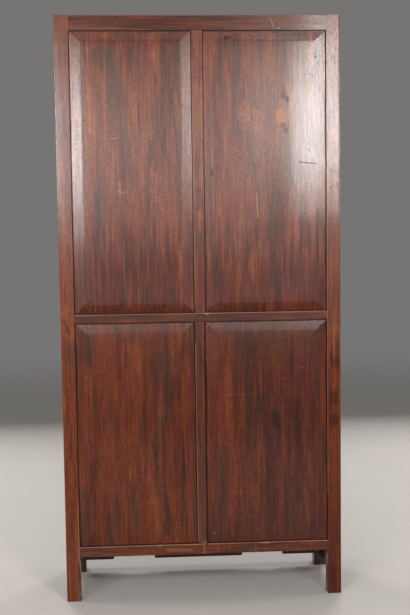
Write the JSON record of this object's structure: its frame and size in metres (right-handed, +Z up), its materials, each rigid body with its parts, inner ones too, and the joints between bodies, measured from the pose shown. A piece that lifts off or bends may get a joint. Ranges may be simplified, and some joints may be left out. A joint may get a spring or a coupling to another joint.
{
  "type": "shelving unit",
  "caption": "Tall free-standing hardwood bookcase with an open front, fixed shelves, panelled sides and a raised-and-fielded panelled back on straight legs.",
  "frame": {"origin": "on the floor under the middle of the bookcase", "axes": "+Z up, -Y towards the open front, +Y towards the panelled back, +X to the right as seen from the front"},
  "size_m": [0.937, 0.34, 1.95],
  "materials": {
    "frame_wood": "polished, dark reddish brown, worn at the arrises",
    "panel_wood": "polished, dark reddish brown with upright grain",
    "board_wood": "satin, dark reddish brown"
  },
  "bodies": {
    "root": {"apron_front": "frame_wood", "apron_left": "frame_wood", "apron_right": "frame_wood", "back_panel_lower_left": "panel_wood", "back_panel_lower_right": "panel_wood", "back_panel_upper_left": "panel_wood", "back_panel_upper_right": "panel_wood", "bottom_board": "board_wood", "bottom_brace_left": "board_wood", "bottom_brace_right": "board_wood", "bottom_rail_back": "frame_wood", "bottom_rail_front": "frame_wood", "bottom_rail_left": "frame_wood", "bottom_rail_right": "frame_wood", "mid_board": "board_wood", "mid_brace_left": "board_wood", "mid_brace_right": "board_wood", "mid_rail_back": "frame_wood", "mid_rail_front": "frame_wood", "mid_rail_left": "frame_wood", "mid_rail_right": "frame_wood", "muntin_lower": "frame_wood", "muntin_upper": "frame_wood", "post_back_left": "frame_wood", "post_back_right": "frame_wood", "post_front_left": "frame_wood", "post_front_right": "frame_wood", "shelf_1_board": "board_wood", "shelf_1_cleat_left": "board_wood", "shelf_1_cleat_right": "board_wood", "shelf_1_rail": "frame_wood", "shelf_2_board": "board_wood", "shelf_2_cleat_left": "board_wood", "shelf_2_cleat_right": "board_wood", "shelf_2_rail": "frame_wood", "shelf_3_board": "board_wood", "shelf_3_cleat_left": "board_wood", "shelf_3_cleat_right": "board_wood", "shelf_3_rail": "frame_wood", "side_panel_lower_left": "panel_wood", "side_panel_lower_right": "panel_wood", "side_panel_upper_left": "panel_wood", "side_panel_upper_right": "panel_wood", "top_board": "board_wood", "top_brace_left": "board_wood", "top_brace_right": "board_wood", "top_rail_back": "frame_wood", "top_rail_front": "frame_wood", "top_rail_left": "frame_wood", "top_rail_right": "frame_wood"}
  },
  "joints": []
}
